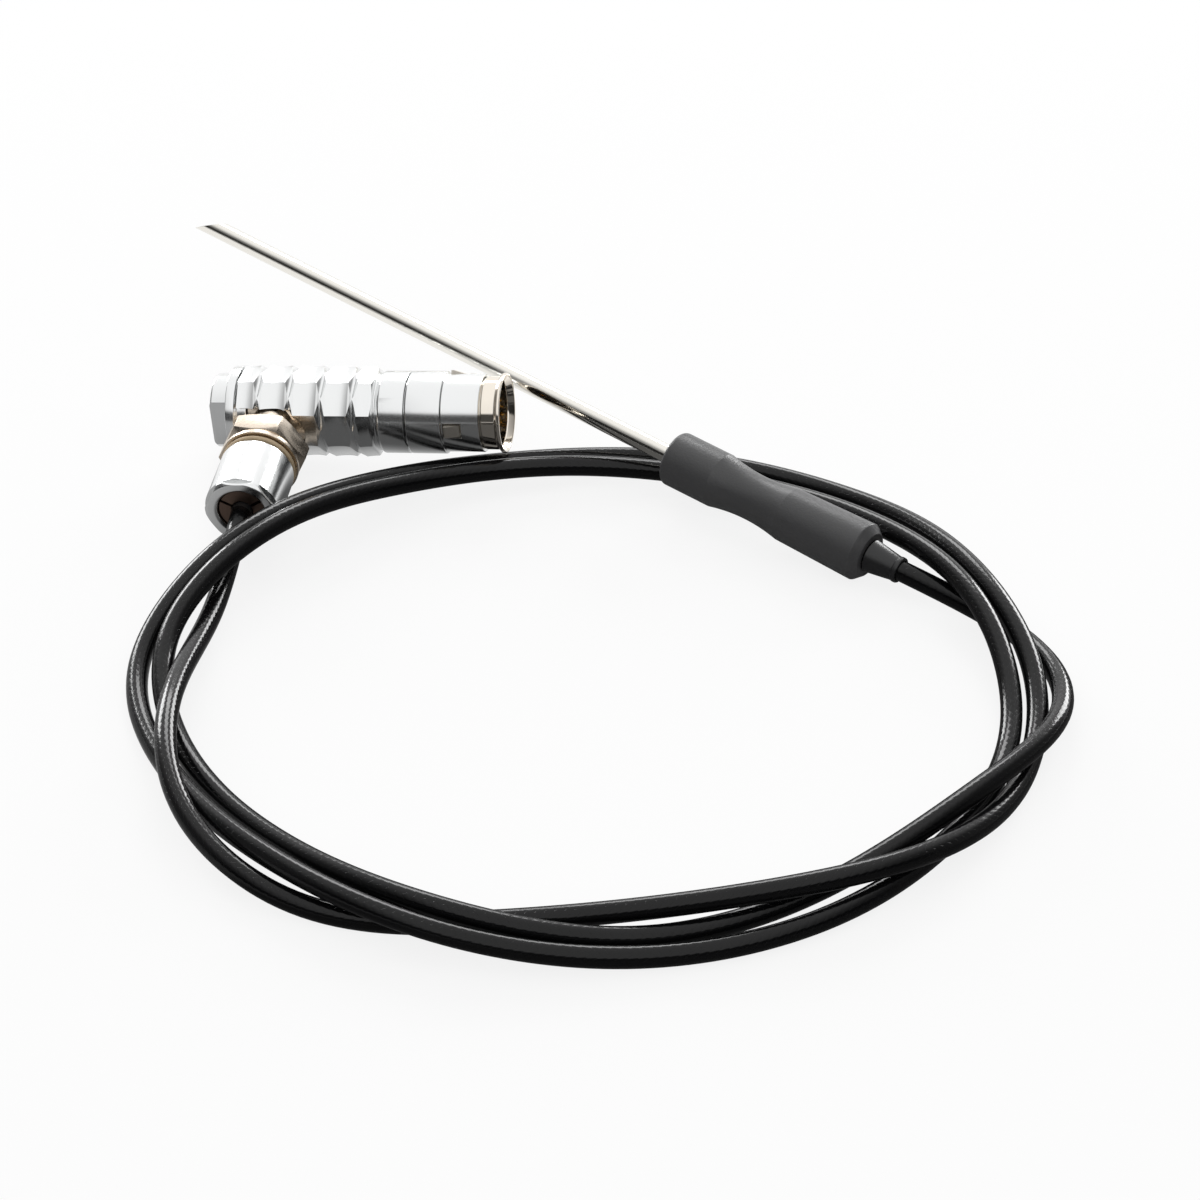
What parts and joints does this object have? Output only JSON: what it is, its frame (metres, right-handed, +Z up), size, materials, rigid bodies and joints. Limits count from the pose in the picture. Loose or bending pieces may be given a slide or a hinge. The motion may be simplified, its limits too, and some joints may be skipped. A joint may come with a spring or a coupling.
{
  "type": "core temperature probe",
  "caption": "Insertion temperature probe: bevelled steel needle in a waisted plastic handle, with a coiled sheathed cable and a right-angle push-pull plug.",
  "frame": {"origin": "on the surface that the probe lies on, under the middle of the needle, handle and strain relief", "axes": "+X along the probe from the cable end to the needle's point, +Z up, the coil on the +Y side"},
  "size_m": [0.1892, 0.1366, 0.0198],
  "materials": {
    "needle_steel": "bright drawn",
    "handle_plastic": "matt moulded",
    "relief_rubber": "matt moulded",
    "cable_sheath": "glossy braid",
    "satin_chrome": "satin",
    "bright_nickel": "polished",
    "warm_nickel": "nickel plated, finely turned",
    "latch_bronze": "spring bronze, dull",
    "collet_brass": "brown, dull",
    "seal_elastomer": "matt",
    "insulator_plastic": "matt moulded",
    "contact_gold": "gold plated",
    "ceramic": "white alumina ceramic",
    "copper": "tinned copper",
    "red_insulation": "extruded",
    "white_insulation": "extruded"
  },
  "bodies": {
    "probe_and_plug": {"needle_sheath": "needle_steel", "sensor_element": "ceramic", "ceramic_tube": "ceramic", "lead_wire_1": "copper", "lead_wire_2": "copper", "splice_1": "copper", "splice_2": "copper", "conductor_1": "red_insulation", "conductor_2": "white_insulation", "crimp_ferrule": "bright_nickel", "handle_grip": "handle_plastic", "strain_relief": "relief_rubber", "cable_root": "cable_sheath", "cable": "cable_sheath", "cable_tail": "cable_sheath", "elbow_body": "warm_nickel", "leg_washer": "warm_nickel", "seal_ring": "seal_elastomer", "collet_nut": "satin_chrome", "collet": "collet_brass", "front_shell": "satin_chrome", "latch_sleeve": "latch_bronze", "front_ring": "bright_nickel", "insulator": "insulator_plastic", "contact_pin_1": "contact_gold", "contact_pin_2": "contact_gold", "contact_pin_3": "contact_gold", "contact_pin_4": "contact_gold", "half_shell_1": "warm_nickel", "half_shell_2": "warm_nickel", "core_wire_1": "red_insulation", "core_wire_2": "white_insulation"},
    "release": {"release_sleeve": "satin_chrome", "end_cap": "satin_chrome"}
  },
  "joints": [
    {"name": "release_slide", "type": "slide", "parent": "probe_and_plug", "child": "release", "axis": [-0.8886, -0.4495, 0.091], "range_m": [-0.0015, 0], "stiffness_N_per_m": 2000}
  ]
}
